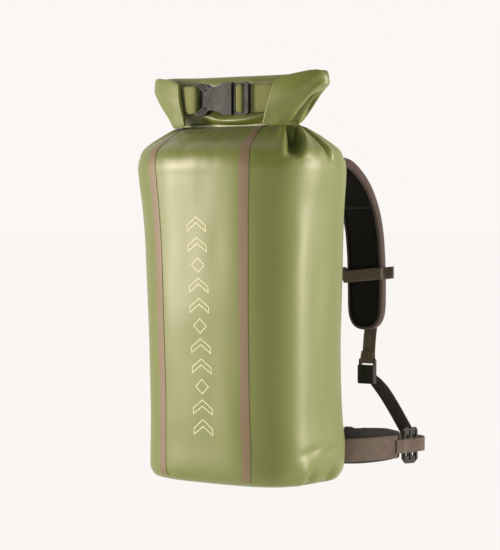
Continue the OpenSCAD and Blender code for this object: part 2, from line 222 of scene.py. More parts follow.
def coated_fabric(name, base, dark, light, rough=0.42):
    """Smooth coated cloth: a soft sheen, cloudy colour, faint weave and a few scuffs."""
    mat, nodes, links, bsdf = new_material(name)
    where = nodes.new("ShaderNodeTexCoord").outputs["Object"]
    cloud = noise_node(nodes, links, where, 5.0, 3.0, stretch=(1, 1, 0.35))
    fine = noise_node(nodes, links, where, 900.0, 2.0)
    scuff = ramp(nodes, links, noise_node(nodes, links, where, 38.0, 6.0, 0.7), 0.60, 0.78)
    colour = mixed(nodes, links, ramp(nodes, links, cloud, 0.3, 0.7), dark, base)
    colour = mixed(nodes, links, ramp(nodes, links, fine, 0.35, 0.65, 0.0, 0.12), colour, light)
    colour = mixed(nodes, links, math_node(nodes, links, "MULTIPLY", scuff, 0.10), colour, light)
    links.new(colour, bsdf.inputs["Base Color"])
    links.new(ramp(nodes, links, cloud, 0.25, 0.75, rough - 0.05, rough + 0.06), bsdf.inputs["Roughness"])
    bsdf.inputs["Specular IOR Level"].default_value = 0.85
    bsdf.inputs["Sheen Weight"].default_value = 0.05
    bsdf.inputs["Sheen Roughness"].default_value = 0.5
    soft = noise_node(nodes, links, where, 26.0, 3.0, stretch=(1, 1, 0.4))
    first = bump(nodes, links, bsdf, soft, 0.12, 0.0012)
    bump(nodes, links, bsdf, fine, 0.10, 0.0002, first)
    return mat


def woven(name, base, dark, light, rib=1100.0, across=520.0, rough=0.72):
    """Webbing: ribs across it and rows of thread along it, set out by its own length and width in metres."""
    mat, nodes, links, bsdf = new_material(name)
    uv = nodes.new("ShaderNodeTexCoord").outputs["UV"]
    split = nodes.new("ShaderNodeSeparateXYZ")
    links.new(uv, split.inputs[0])
    u = math_node(nodes, links, "MULTIPLY", split.outputs[0], rib * 2 * math.pi)
    v = math_node(nodes, links, "MULTIPLY", split.outputs[1], across * 2 * math.pi)
    shifted = math_node(nodes, links, "ADD", u, math_node(nodes, links, "SINE", v))
    ribs = math_node(nodes, links, "SINE", shifted)
    rows = math_node(nodes, links, "SINE", v)
    weave = math_node(nodes, links, "MULTIPLY", ribs, rows)
    weave01 = ramp(nodes, links, weave, -1.0, 1.0)
    wear = noise_node(nodes, links, uv, 70.0, 4.0)
    colour = mixed(nodes, links, weave01, dark, base)
    colour = mixed(nodes, links, ramp(nodes, links, wear, 0.4, 0.75, 0.0, 0.3), colour, light)
    links.new(colour, bsdf.inputs["Base Color"])
    bsdf.inputs["Roughness"].default_value = rough
    bsdf.inputs["Sheen Weight"].default_value = 0.15
    bsdf.inputs["Specular IOR Level"].default_value = 0.3
    bump(nodes, links, bsdf, weave01, 0.5, 0.0004)
    return mat


def spacer_mesh(name, base, light):
    """Black mesh over foam: staggered round holes, painted darker than the threads as painted shade inside
    them.
    """
    mat, nodes, links, bsdf = new_material(name)
    uv = nodes.new("ShaderNodeTexCoord").outputs["UV"]
    cells = nodes.new("ShaderNodeTexVoronoi")
    cells.inputs["Scale"].default_value = 420.0
    cells.inputs["Randomness"].default_value = 0.12
    links.new(uv, cells.inputs["Vector"])
    hole_and_shade = ramp(nodes, links, cells.outputs["Distance"], 0.15, 0.42)
    wear = noise_node(nodes, links, uv, 30.0, 3.0)
    # painted shade: the holes take the darker colour, standing in for the shade inside them; the same mask
    # also gives the holes their relief
    colour = mixed(nodes, links, hole_and_shade, base, light)
    colour = mixed(nodes, links, ramp(nodes, links, wear, 0.4, 0.8, 0.0, 0.3), colour, base)
    links.new(colour, bsdf.inputs["Base Color"])
    bsdf.inputs["Roughness"].default_value = 0.85
    bsdf.inputs["Specular IOR Level"].default_value = 0.2
    bump(nodes, links, bsdf, hole_and_shade, 0.6, 0.0006)
    return mat


def moulded(name, base, light, rough=0.42):
    """Moulded plastic with a fine spark texture and cloudy lighter patches."""
    mat, nodes, links, bsdf = new_material(name)
    where = nodes.new("ShaderNodeTexCoord").outputs["Object"]
    grain = noise_node(nodes, links, where, 1400.0, 2.0)
    cloud = noise_node(nodes, links, where, 60.0, 3.0)
    colour = mixed(nodes, links, ramp(nodes, links, cloud, 0.4, 0.75, 0.0, 0.35), base, light)
    links.new(colour, bsdf.inputs["Base Color"])
    links.new(ramp(nodes, links, cloud, 0.3, 0.7, rough - 0.05, rough + 0.08), bsdf.inputs["Roughness"])
    bsdf.inputs["Specular IOR Level"].default_value = 0.3
    bump(nodes, links, bsdf, grain, 0.15, 0.0002)
    return mat


GREEN = coated_fabric(
    "olive_coated_fabric", linear(115, 125, 44), linear(109, 119, 40), linear(150, 152, 82), 0.41
)
TAPE = coated_fabric(
    "seam_tape_fabric", linear(130, 108, 74), linear(121, 100, 67), linear(146, 124, 92), 0.5
)
PRINT = coated_fabric("pale_print", linear(222, 216, 170), linear(214, 208, 160), linear(232, 228, 190), 0.5)
OLIVE_WEB = woven("olive_webbing", linear(140, 141, 84), linear(112, 118, 64), linear(162, 161, 108))
BROWN_WEB = woven("brown_webbing", linear(106, 92, 80), linear(80, 66, 58), linear(128, 112, 98))
DARK_WEB = woven("dark_webbing", linear(50, 43, 38), linear(34, 29, 26), linear(66, 58, 52))
BINDING = woven("brown_binding", linear(84, 66, 59), linear(60, 46, 41), linear(102, 84, 76), 1500.0, 700.0)
# the first colour is the painted shade in the mesh's holes, the second the threads
MESH_CLOTH = spacer_mesh("black_mesh", linear(9, 8, 7), linear(24, 23, 21))
BLACK_CLOTH = woven(
    "black_cloth", linear(26, 24, 21), linear(16, 15, 13), linear(40, 37, 33), 1500.0, 1500.0, 0.8
)
PLASTIC = moulded("buckle_plastic", linear(40, 38, 35), linear(54, 51, 47), 0.5)


# ---------------------------------------------------------------- mesh helpers
def make_mesh(name, verts, faces, material, nodes=(), body=ROOT, uvs=None):
    """A smooth-shaded piece, verts in metres, that rides a body and stands for the CAD nodes named."""
    mesh = bpy.data.meshes.new(name)
    mesh.from_pydata([tuple(map(float, v)) for v in verts], [], faces)
    mesh.update()
    if uvs is not None:
        layer = mesh.uv_layers.new(name="UVMap")
        loops = np.zeros(len(mesh.loops), dtype=np.int64)
        mesh.loops.foreach_get("vertex_index", loops)
        layer.data.foreach_set("uv", np.asarray(uvs, dtype=np.float32)[loops].ravel())
    mesh.materials.append(material)
    mesh.shade_smooth()
    obj = bpy.data.objects.new(name, mesh)
    bpy.context.collection.objects.link(obj)
    if body:
        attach(obj, body)
    if nodes:
        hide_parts(*nodes)
    return obj


def grid_faces(rows, cols, wrap=False, offset=0, turn=False):
    """Faces between rows of points; wrap closes each row into a ring, and turn reverses every face."""
    faces = []
    for i in range(rows - 1):
        for j in range(cols if wrap else cols - 1):
            a = offset + i * cols + j
            b = offset + i * cols + (j + 1) % cols
            face = (a, b, b + cols, a + cols)
            faces.append(face[::-1] if turn else face)
    return faces


def spline(a, b, c, d, f):
    """The place a fraction f of the way from b to c on a smooth curve through a, b, c and d."""
    return 0.5 * (
        2 * b + (c - a) * f + (2 * a - 5 * b + 4 * c - d) * f**2 + (3 * b - a - 3 * c + d) * f**3
    )


def curve_through(points, count):
    """Smooth curve through points, with count samples evenly along it. Works on rows of any width."""
    p = np.asarray(points, dtype=float)
    ext = np.vstack([2 * p[0] - p[1], p, 2 * p[-1] - p[-2]])
    out = []
    for i in range(1, len(ext) - 2):
        for f in np.linspace(0, 1, 16, endpoint=False):
            out.append(spline(ext[i - 1], ext[i], ext[i + 1], ext[i + 2], f))
    out.append(p[-1])
    out = np.array(out)
    dims = min(3, out.shape[1])
    length = np.concatenate([[0], np.cumsum(np.linalg.norm(np.diff(out[:, :dims], axis=0), axis=1))])
    want = np.linspace(0, length[-1], count)
    return np.column_stack([np.interp(want, length, out[:, k]) for k in range(out.shape[1])]), want


def rough3(p, scale, seed=0.0):
    """Smooth noise from -1 to 1 at a point."""
    return noise.noise(Vector((p[0] * scale + seed, p[1] * scale - seed * 0.7, p[2] * scale + seed * 1.3)))


def unit_rows(v):
    return v / np.maximum(np.linalg.norm(v, axis=1, keepdims=True), 1e-12)


def strap(name, path, across, width, thick, material, nodes, body=ROOT, step=1.2):
    """Webbing along a smooth path, in millimetres. across is one direction, or one for each point."""
    path = np.asarray(path, dtype=float)
    across = np.asarray(across, dtype=float)
    if across.ndim == 1:
        across = np.tile(across, (len(path), 1))
    rough_length = np.linalg.norm(np.diff(path, axis=0), axis=1).sum()
    both, along = curve_through(np.hstack([path, across]), max(8, int(rough_length / step)))
    p, w = both[:, :3], unit_rows(both[:, 3:])
    heading = unit_rows(np.gradient(p, axis=0))
    n = unit_rows(np.cross(heading, w))
    half, t = width / 2, thick / 2
    section = []
    for face in (1, -1):
        for x in np.linspace(-face, face, 9):
            edge = 1 - max(0.0, (abs(x) - 0.9) / 0.1) ** 2 * 0.6
            section.append((x * half, face * t * edge))
    verts, uvs = [], []
    for i in range(len(p)):
        for a, b in section:
            verts.append((p[i] + w[i] * a + n[i] * b) * MM)
            uvs.append((along[i] * MM, a * MM))
    m = len(section)
    faces = grid_faces(len(p), m, wrap=True)
    half_m = m // 2
    for base, turn in ((0, True), ((len(p) - 1) * m, False)):
        for j in range(half_m - 1):
            face = (base + j, base + j + 1, base + m - 2 - j, base + m - 1 - j)
            faces.append(face[::-1] if turn else face)
    return make_mesh(name, verts, [f[::-1] for f in faces], material, nodes, body, uvs)


def mirror_path(path):
    """The same path on the other side of the bag."""
    return [(-p[0], *p[1:]) for p in path]


def puffed(obj, voxel=0.005, pressure=4.0):
    """Cloth blows up an even copy of a closed shape. Returns its points as they were and as they end up."""
    scene = bpy.context.scene
    even = bpy.data.objects.new("even_copy", obj.data.copy())
    bpy.context.collection.objects.link(even)
    remesh = even.modifiers.new("even", "REMESH")
    remesh.mode = "VOXEL"
    remesh.voxel_size = voxel
    with bpy.context.temp_override(object=even, active_object=even):
        bpy.ops.object.modifier_apply(modifier="even")
    start = np.array([tuple(v.co) for v in even.data.vertices])
    cloth = even.modifiers.new("air", "CLOTH")
    cloth.settings.use_pressure = True
    cloth.settings.uniform_pressure_force = pressure
    cloth.settings.effector_weights.gravity = 0.0
    for number in range(1, 21):
        scene.frame_set(number)
    done = even.evaluated_get(bpy.context.evaluated_depsgraph_get()).data
    end = np.array([tuple(v.co) for v in done.vertices])
    bpy.data.objects.remove(even)
    scene.frame_set(1)
    return start, end


def settle(obj, start, end, cap, keep, side=1):
    """Moves obj's points out as the blown-up copy moved near them, by no more than cap metres."""
    tree = KDTree(len(start))
    for i, q in enumerate(start):
        tree.insert(q, i)
    tree.balance()
    moved = end - start
    flip = np.array([side, 1, 1])
    for v, share in zip(obj.data.vertices, keep):
        found = tree.find_n(Vector(np.array(v.co) * flip), 8)
        weight = np.array([1 / (d + 0.002) for _, _, d in found])
        shift = (moved[[i for _, i, _ in found]] * weight[:, None]).sum(axis=0) / weight.sum() * flip
        size = np.linalg.norm(shift)
        if size > 1e-9:
            v.co += Vector(shift / size * cap * math.tanh(size / cap) * share)
    obj.data.update()


# ---------------------------------------------------------------- the bag's skin
# height, half width, half depth, squareness, middle offset: the CAD source's levels, over two for the base
LEVELS = np.array([
    [0, 116, 82, 3.4, 0], [3, 125, 92, 3.4, 0], [8, 129, 98, 3.3, 0], [16, 132, 102, 3.3, 1],
    [30, 133.5, 104, 3.2, 2], [55, 133.5, 104, 3.2, 2], [90, 131.5, 103, 3.2, 0], [140, 131, 102, 3.2, -2],
    [190, 131.5, 102.5, 3.2, -3], [240, 133, 103.5, 3.2, -4], [290, 135, 104, 3.2, -5],
    [340, 138, 105, 3.1, -6], [385, 142, 106, 3.0, -8], [425, 147.5, 107, 2.9, -10],
    [445, 149, 107, 2.8, -11], [462, 145, 102, 2.7, -11], [473, 136, 89, 2.6, -11],
    [482, 126, 71, 2.5, -11], [489, 117, 53, 2.4, -13], [494.5, 110, 34, 2.2, -15],
    [498.5, 105, 12, 2.0, -16],
])
WALL_START = 2
WALL_END = len(LEVELS) - 1


def level_at(v):
    """The bag's section at a fractional level number, smooth between the levels."""
    v = np.clip(v, 0, WALL_END)
    i = np.minimum(v.astype(int), WALL_END - 1)
    f = (v - i)[:, None]
    before, after = np.maximum(i - 1, 0), np.minimum(i + 2, WALL_END)
    return spline(LEVELS[before], LEVELS[i], LEVELS[i + 1], LEVELS[after], f)


def plain_skin(t, v):
    """Points of the undisturbed skin, in millimetres, at angles t in degrees and levels v."""
    s = level_at(v)
    c, d = np.cos(np.radians(t)), np.sin(np.radians(t))
    r = (np.abs(c) ** s[:, 3] + np.abs(d) ** s[:, 3]) ** (-1 / s[:, 3])
    return np.column_stack([s[:, 1] * r * c, s[:, 2] * r * d + s[:, 4], s[:, 0]])


def gap(t, centre):
    """Degrees from centre to t, the short way round."""
    return (t - centre + 180) % 360 - 180


def bell(x, width):
    """A bump of height 1 at x = 0."""
    return np.exp(-0.5 * (x / width) ** 2)


def creases(t, p):
    """How far the skin stands out from its plain shape, in millimetres: folds at the neck, the pinched
    corners of the base and the slow waves of filled cloth."""
    z = p[:, 2]
    out = np.zeros(len(t))
    for side in (0, 180):
        for front in (-1, 1):
            sign = front if side == 0 else -front
            down = np.clip((495 - z) / 43, 0, 1)
            # the mouth of the gusset: a deep pocket under the roll that closes to a point lower down
            fold = side + sign * (24 + 9 * down)
            depth = (27 if front < 0 else 14) * (1 - down) ** 0.75 * np.clip((z - 440) / 12, 0, 1)
            width = 6.4 - 2.6 * down
            out -= depth * np.exp(-((gap(t, fold) / width / 1.25) ** 4))
            out += 0.16 * depth * (bell(gap(t, fold + sign * 10), 3.6) + bell(gap(t, fold - sign * 10), 3.6))
            # pinched corner of the base, and the slack it leaves above it
            pinch = side + sign * 13
            out -= 5.0 * bell(gap(t, pinch), 3.4) * bell(z - 9, 8)
            out += 2.2 * bell(gap(t, pinch + sign * 8), 4.5) * bell(z - 20, 12)
            out -= 1.7 * bell(gap(t, side + sign * 14), 8) * bell(z - 48 - 0.35 * gap(t, pinch), 4)
        # sharp crease that runs out from the end of the roll over the shoulder
        down = np.clip((495 - z) / 43, 0, 1)
        line = -3 + 7 * down if side == 0 else 188 + 13 * down
        near = np.clip((z - 448) / 16, 0, 1)
        out -= (6.0 if side == 0 else 8.0) * bell(gap(t, line), 1.9 if side == 0 else 2.6) * near
        out += 3.0 * bell(gap(t, line + (4.5 if side == 0 else -4.5)), 2.4) * near
        out += 1.6 * bell(gap(t, line - (6 if side == 0 else -6)), 3.4) * near
    wall = np.clip((z - 14) / 40, 0, 1)
    high = np.clip((z - 430) / 45, 0, 1)
    for k in range(len(t)):
        q = p[k]
        out[k] += 1.5 * wall[k] * noise.noise(Vector((q[0] * 0.011, q[1] * 0.011, q[2] * 0.0045 + 3)))
        out[k] += 0.7 * wall[k] * noise.noise(Vector((q[0] * 0.03 + 7, q[1] * 0.03, q[2] * 0.012)))
        if high[k] > 0:
            out[k] += 0.7 * high[k] * noise.noise(Vector((t[k] * 0.16, q[2] * 0.02, 5.0)))
    near_top = np.clip((LEVELS[-1, 0] - z) / 5, 0, 1)
    return out * near_top


def skin(t, v, lift=0.0):
    """Points of the finished skin, lifted off it by lift millimetres."""
    t, v = np.asarray(t, dtype=float), np.asarray(v, dtype=float)
    p = plain_skin(t, v)
    small = 0.02
    round_it = plain_skin(t + 1, v) - plain_skin(t - 1, v)
    up_it = plain_skin(t, np.minimum(v + small, WALL_END)) - plain_skin(t, np.maximum(v - small, 0))
    n = unit_rows(np.cross(round_it, up_it))
    return p + n * (creases(t, p) + lift)[:, None], n


def wall_panel(
    name, t0, t1, nodes, v0=WALL_START, v1=WALL_END, material=GREEN, lift=0.0, step=1.25, thick=1.2, lean=0.0
):
    """The skin between two angles and two levels, with a back and rims. lean turns its end at the neck."""
    cols = int(round((t1 - t0) / step)) + 1
    rows = int(round((v1 - v0) * 9)) + 1
    tt, vv = np.meshgrid(np.linspace(t0, t1, cols), np.linspace(v0, v1, rows))
    near_neck = np.clip((vv - (WALL_END - 7)) / 7, 0, 1) ** 2
    p, n = skin((tt + lean * near_neck).ravel(), vv.ravel(), lift)
    inner = p - n * thick
    verts = np.vstack([p, inner]) * MM
    size = rows * cols
    faces = grid_faces(rows, cols) + grid_faces(rows, cols, offset=size, turn=True)
    for i in range(rows - 1):
        a, b = i * cols, (i + 1) * cols
        faces.append((b, a, a + size, b + size)[::-1])
        a, b = a + cols - 1, b + cols - 1
        faces.append((a, b, b + size, a + size)[::-1])
    for j in range(cols - 1):
        faces.append((j, j + 1, j + 1 + size, j + size)[::-1])
        a = (rows - 1) * cols + j
        faces.append((a + 1, a, a + size, a + 1 + size)[::-1])
    uvs = [(0, 0)] * len(verts)
    return crisp_rims(make_mesh(name, verts, faces, material, nodes, ROOT, uvs))


def crisp_rims(obj):
    """Keeps smooth shading off the narrow faces round a panel's edge, so that no seam glints."""
    obj.data.set_sharp_from_angle(angle=math.radians(50))
    return obj


def base_dish():
    """The base: flat underneath, turned up at its rim to meet the wall, and hollow inside."""
    cols = 288
    t = np.linspace(0, 360, cols, endpoint=False)
    levels = np.linspace(0, WALL_START, 9)
    rows = []
    for f in (0.25, 0.5, 0.75):
        p = plain_skin(t, np.zeros(cols))
        rows.append(np.column_stack([p[:, 0] * f, p[:, 1] * f, np.zeros(cols)]))
    for v in levels:
        rows.append(skin(t, np.full(cols, v))[0])
    low = rows[3].copy()
    low[:, 2] = 0.0
    rows[3] = low
    for v in levels[::-1][:7]:
        p, n = skin(t, np.full(cols, v))
        rows.append(p - n * 1.4)
    verts = np.vstack(rows)
    verts[:, 2] = np.maximum(verts[:, 2], 0.0)
    faces = grid_faces(len(rows), cols, wrap=True)
    centre = len(verts)
    verts = np.vstack([verts, [[0, 0, 0], [0, 0, 2.2]]]) * MM
    last = (len(rows) - 1) * cols
    for j in range(cols):
        faces.append((centre, (j + 1) % cols, j))
        faces.append((last + j, last + (j + 1) % cols, centre + 1))
    return crisp_rims(make_mesh("base_panel_cloth", verts, faces, GREEN, ["base_panel"]))


def front_spot(x, z, lift):
    """Points on the front of the skin at a given x and height, in millimetres."""
    v = np.interp(z, LEVELS[:, 0], np.arange(len(LEVELS)))
    low, high = np.full(len(v), -150.0), np.full(len(v), -30.0)
    for _ in range(22):
        mid = (low + high) / 2
        left = plain_skin(mid, v)[:, 0] < x
        low, high = np.where(left, mid, low), np.where(left, high, mid)
    return skin((low + high) / 2, v, lift)[0]


def shrink(corners, width):
    """The same outline moved in by width; corners go round anticlockwise."""
    out = []
    for i in range(len(corners)):
        a, b, c = (np.array(corners[(i + k) % len(corners)], dtype=float) for k in (-1, 0, 1))
        u, w = (b - a) / np.linalg.norm(b - a), (c - b) / np.linalg.norm(c - b)
        m, q = np.array([-u[1], u[0]]), np.array([-w[1], w[0]])
        out.append(b + (m + q) * width / (1 + m @ q))
    return out


def build_print():
    """A column of outlined peaks printed up the front: a plain pattern with no letters in it."""
    verts, faces = [], []
    tall = 22
    peak = [(-17, 0), (0, 12), (17, 0), (17, 10), (0, tall), (-17, 10)]
    diamond = [(0, 0), (12, tall / 2), (0, tall), (-12, tall / 2)]
    bottom, top = 70.0, 392
    for k, z in enumerate(np.arange(bottom, top - tall + 1, tall + 6)):
        outer = diamond if k % 3 == 2 else peak
        inner = shrink(outer, 1.5)
        count = len(outer)
        flat = []
        for i in range(count):
            for ring in (outer, inner):
                a, b = np.array(ring[i], dtype=float), np.array(ring[(i + 1) % count], dtype=float)
                flat.append([a + (b - a) * f for f in np.linspace(0, 1, 9)])
        for i in range(count):
            start = len(verts)
            pts = np.array(flat[2 * i] + flat[2 * i + 1])
            high = pts[:, 1] + z
            spots = front_spot(pts[:, 0] + 4 - 0.02 * (high - bottom), high, 0.25)
            verts += [p * MM for p in spots]
            for j in range(8):
                faces.append((start + j, start + j + 1, start + 10 + j, start + 9 + j))
    make_mesh("front_print", verts, faces, PRINT)


def build_bag():
    """The skin in its CAD panels, the base, the print, the seam tapes and the patches on the back."""
    seam = 30
    wall_panel("front_panel_cloth", -90 - seam, -90 + seam, ["front_panel"])
    wall_panel("side_panel_right_cloth", -90 + seam, 90 - seam, ["side_panel_right"])
    wall_panel("side_panel_left_cloth", 90 + seam, 270 - seam, ["side_panel_left"])
    wall_panel("back_panel_cloth", 90 - seam, 90 + seam, ["back_panel"])
    base_dish()
    build_print()
    for side, t, lean in (("left", -90 - seam, -26), ("right", -90 + seam, 0)):
        wall_panel(
            "seam_tape_" + side + "_strip", t - 2.6, t + 2.6, ["seam_tape_" + side],
            material=TAPE, lift=0.7, step=0.65, thick=0.6, lean=lean,
        )
    wall_panel("harness_patch_cloth", 67.5, 112.5, ["harness_patch"], 12, 14, lift=1.5, thick=1.2)
    wall_panel("hip_patch_cloth", 60, 120, ["hip_patch"], 3, 6, lift=1.3, thick=1.2)


# ---------------------------------------------------------------- rolled mouth
# right half in plan, from the ear's free end to the middle: x, y, half thickness, lower edge, upper edge
ROLL = np.array([
    [79, -51, 3, 506, 559], [95, -45.5, 3.6, 502, 565], [115, -38, 4, 502, 568], [133, -30, 4.4, 513, 570],
    [143, -23, 4.2, 527, 570], [147.5, -14, 3.6, 536, 565], [142, -6, 4.4, 529, 570], [124, -7, 8, 507, 571],
    [100, -11, 11, 499, 570], [60, -15, 13, 499, 569], [20, -16, 13.5, 499, 569],
])


def build_neck():
    """The gathered mouth of the bag, from the shoulder up into the roll, so that no light shows between."""
    cols = 96
    t = np.linspace(0, 2 * math.pi, cols, endpoint=False)
    heights = (495, 498, 501, 504.5)
    rows = []
    for inset, climb in ((0, heights), (1.2, heights[::-1])):
        for z in climb:
            x = (104 - inset) * np.cos(t)
            y = (10.5 - inset) * np.sin(t) - 15
            rows.append(np.column_stack([x, y, np.full(cols, z)]))
    faces = grid_faces(len(rows), cols, wrap=True)
    last = (len(rows) - 1) * cols
    for j in range(cols):
        k = (j + 1) % cols
        faces.append((last + j, last + k, k, j))
    make_mesh("mouth_gather", np.vstack(rows) * MM, faces, GREEN)


def roll_relief(x, y, z, rise, thick, behind):
    """How far the roll stands out from its plain shape: folds, and the lines between its turns."""
    turns = 0.0
    for line, depth in ((0.16, 1.6), (0.42, 1.0), (0.78, 1.3)):
        wave = line + 0.03 * math.sin(x * 0.03 + line * 9)
        turns += depth * math.exp(-((rise - wave) / 0.028) ** 2)
    fold = 1.3 * noise.noise(Vector((x * 0.035, y * 0.035 + (3 if behind else 0), z * 0.05)))
    out = fold * (0.4 + 0.6 * thick) - turns * (0.35 + 0.65 * thick)
    if abs(x) < 80 and y > -30 and not behind:
        # the slack fold of cloth under the buckle
        sag = z - (506 + 0.0030 * x * x)
        out += 9.0 * bell(x, 46) * bell(sag, 4.5) - 2.5 * bell(x, 44) * bell(sag - 9, 3)
    return out


def ear_shape(right, rise, ear):
    """In the folded end of the roll: how far the cloth slides along it, and how far it bulges."""
    if right:
        slide, bulge, pinch = 7 * rise - 10 * (1 - rise), 4.5, 4.0
    else:
        slide, bulge, pinch = 3 * rise - 14 * (1 - rise) ** 2, 2.5, 2.0
    belly = math.sin(math.pi * min(1, rise)) * math.sin(math.pi * (1 - ear))
    groove = bell(rise - 0.2 - 0.5 * (1 - ear), 0.09) * (1 - ear) * ear * 4
    return slide * ear**1.3, bulge * belly - pinch * groove


def build_roll():
    """The rolled mouth, folded forward at both ends, as one closed piece of cloth."""
    left = ROLL[::-1] * np.array([-1, 1, 1, 1, 1])
    path, along = curve_through(np.vstack([ROLL, left]), 320)
    flat = np.column_stack([path[:, :2], np.zeros(len(path))])
    heading = unit_rows(np.gradient(flat, axis=0))
    n = np.cross(heading, [0, 0, 1])
    m = 56
    verts, uvs = [], []
    for i in range(len(path)):
        x, y, h, z0, z1 = path[i]
        mid, tall = (z0 + z1) / 2, (z1 - z0) / 2
        thick = min(1.0, (h - 3) / 8)
        for j in range(m):
            a = 2 * math.pi * j / m
            c, d = math.cos(a), math.sin(a)
            r = (abs(c) ** 3 + abs(d) ** 3) ** (-1 / 3)
            z = mid + r * d * tall
            rise = (z - z0) / (z1 - z0)
            s = 1 if c > 0 else -1
            out = roll_relief(x, y, z, rise, thick, c >= 0)
            slide = 0.0
            ear = max(0.0, 1 - min(along[i], along[-1] - along[i]) / 80.0)
            if ear > 0:
                slide, bulge = ear_shape(x > 0, rise, ear)
                out += s * bulge
            way = heading[i] if along[i] < along[-1] / 2 else -heading[i]
            stand = r * c * h + s * out * min(1, abs(c) * 2)
            p = flat[i] + n[i] * stand + way * slide + np.array([0, 0, z])
            p[2] -= 6.5 * ear * (1 - min(1, max(0, rise))) ** 3
            # the ears narrow down to the neck
            beyond = abs(p[0]) - 92
            if beyond > 0:
                low = min(1, max(0, (0.55 - rise) / 0.55))
                p[0] -= math.copysign(beyond * 0.62 * low * (0.5 + 0.5 * low), p[0])
                p[2] += (3.0 if x > 0 else 0) * min(1, beyond / 40) * rise
            verts.append(p * MM)
            uvs.append((along[i] * MM, a))
    faces = grid_faces(len(path), m, wrap=True)
    centre = len(verts)
    for end in (0, len(path) - 1):
        ring = np.array(verts[end * m:(end + 1) * m])
        verts.append(ring.mean(axis=0))
        uvs.append((0, 0))
    last = (len(path) - 1) * m
    for j in range(m):
        faces.append((centre, (j + 1) % m, j))
        faces.append((last + j, last + (j + 1) % m, centre + 1))
    make_mesh("roll_top_cloth", verts, [f[::-1] for f in faces], GREEN, ["roll_top"], ROOT, uvs)


# ---------------------------------------------------------------- closure strap
STRAP_Z = 536.0
BUCKLE_Y = -52.0


def fold_left(y, z, s):
    """Webbing round the bar of a buckle of size s, and back behind itself."""
    turn = [math.radians(a) for a in range(-90, 91, 30)]
    pts = [((-50 + 3.8 * math.cos(a)) * s, y + 3.8 * s * math.sin(a), z) for a in turn]
    return pts + [(-56 * s, y + 2.6 * s, z), (-64 * s, y + 2.4 * s, z)]


def thread_right(y, z, s):
    """Webbing through the two bars of the other half of a buckle of size s."""
    pairs = ((46, 4.2), (33, 4.2), (26.5, 4.2), (24.9, 2.5), (24.6, 0), (24.9, -2.5), (26.5, -4.2),
             (33, -4.2), (34.6, -2.5), (35.2, 0), (35.2, 2.2))
    return [(x * s, y + dy * s, z) for x, dy in pairs]


def build_closure():
    """The strap across the roll, in two lengths of webbing that meet at the buckle."""
    z = STRAP_Z
    shared = [(-113, -31, z), (-94, -38.6, z), (-77, -44.6, z)]
    left = shared + [(-62, -51, z), (-56, -55, z)] + fold_left(BUCKLE_Y, z, 1)
    right = mirror_path(shared) + [(60, -47, z)] + thread_right(BUCKLE_Y, z, 1)
    for side, path in (("left", left), ("right", right)):
        name = "closure_strap_" + side
        strap(name + "_web", path, UP, 39, 1.7, OLIVE_WEB, [name], step=1.0)


# ---------------------------------------------------------------- shoulder straps
# down the right pad: y, z, x of the inner edge, x of the outer edge
PAD = np.array([
    [98, 452.5, 42, 84], [126, 447, 39, 93], [149, 431, 38, 97], [169, 411, 37.5, 98.5],
    [185, 387, 37.5, 98.5], [195, 364, 37.5, 98.5], [201, 338, 37.5, 98.5], [204.5, 305, 37.5, 98.5],
    [206, 265, 37.5, 98.5], [206, 236, 38, 98], [206, 221, 40.5, 95], [206, 210, 47, 88], [206, 205, 55, 79],
])
PAD_HALF = 5.5
LINING_SEAM_Z = 386.0
WEB_X = 70
# how Cloth moved each kind of padded piece, found once on the right and used again on the left
AIR = {}


def pad_course():
    """Down the pad: its middle line, the way its outer face looks, its two edges, and the length so far."""
    rows, along = curve_through(PAD, 150)
    p = np.column_stack([np.zeros(len(rows)), rows[:, 0], rows[:, 1]])
    heading = unit_rows(np.gradient(p, axis=0))
    n = np.cross([1, 0, 0], heading)
    return p, n, rows[:, 2], rows[:, 3], along


def crown(u):
    """How full the pad is across its width, from 0 at its edges to 1 in the middle."""
    return 1 - abs(2 * u - 1) ** 3.2


def build_pad(side, s):
    """Foam body, crowned on both faces, with everything that is sewn to it."""
    p, n, lo, hi, along = pad_course()
    m = 33
    seed = 1.0 if side == "left" else 0.0
    across = np.linspace(0, 1, m)
    verts, uvs = [], []
    for i in range(len(p)):
        a, b = lo[i] + 2.6, hi[i] - 2.6
        for u in across:
            x = a + (b - a) * u
            wave = rough3((x, p[i][1], p[i][2]), 0.06, seed)
            h = PAD_HALF - 1.9 + crown(u) + 0.25 * wave
            verts.append(np.array([s * x, 0, 0]) + p[i] - n[i] * h)
            uvs.append((along[i] * MM, x * MM))
        for u in across[::-1]:
            x = a + (b - a) * u
            h = PAD_HALF - 1.9 + 0.9 * crown(u)
            verts.append(np.array([s * x, 0, 0]) + p[i] + n[i] * h)
            uvs.append((along[i] * MM, x * MM))
    count = 2 * m
    faces = grid_faces(len(p), count, wrap=True)
    for base, turn in ((0, True), ((len(p) - 1) * count, False)):
        for j in range(m - 1):
            face = (base + j, base + j + 1, base + count - 2 - j, base + count - 1 - j)
            faces.append(face[::-1] if turn else face)
    if s > 0:
        faces = [f[::-1] for f in faces]
    foam = make_mesh("shoulder_pad_" + side + "_foam", np.array(verts) * MM, faces, BLACK_CLOTH,
                     ["shoulder_pad_" + side], ROOT, uvs)
    share = 1 - abs(2 * across - 1) ** 4
    if "pad" not in AIR:
        AIR["pad"] = puffed(foam)
    settle(foam, *AIR["pad"], 0.0013, np.tile(np.concatenate([share, share[::-1]]), len(p)), s)
    build_lining(side, s, across, share)
    build_binding(side, s)
    build_shoulder_webbing(side, s)


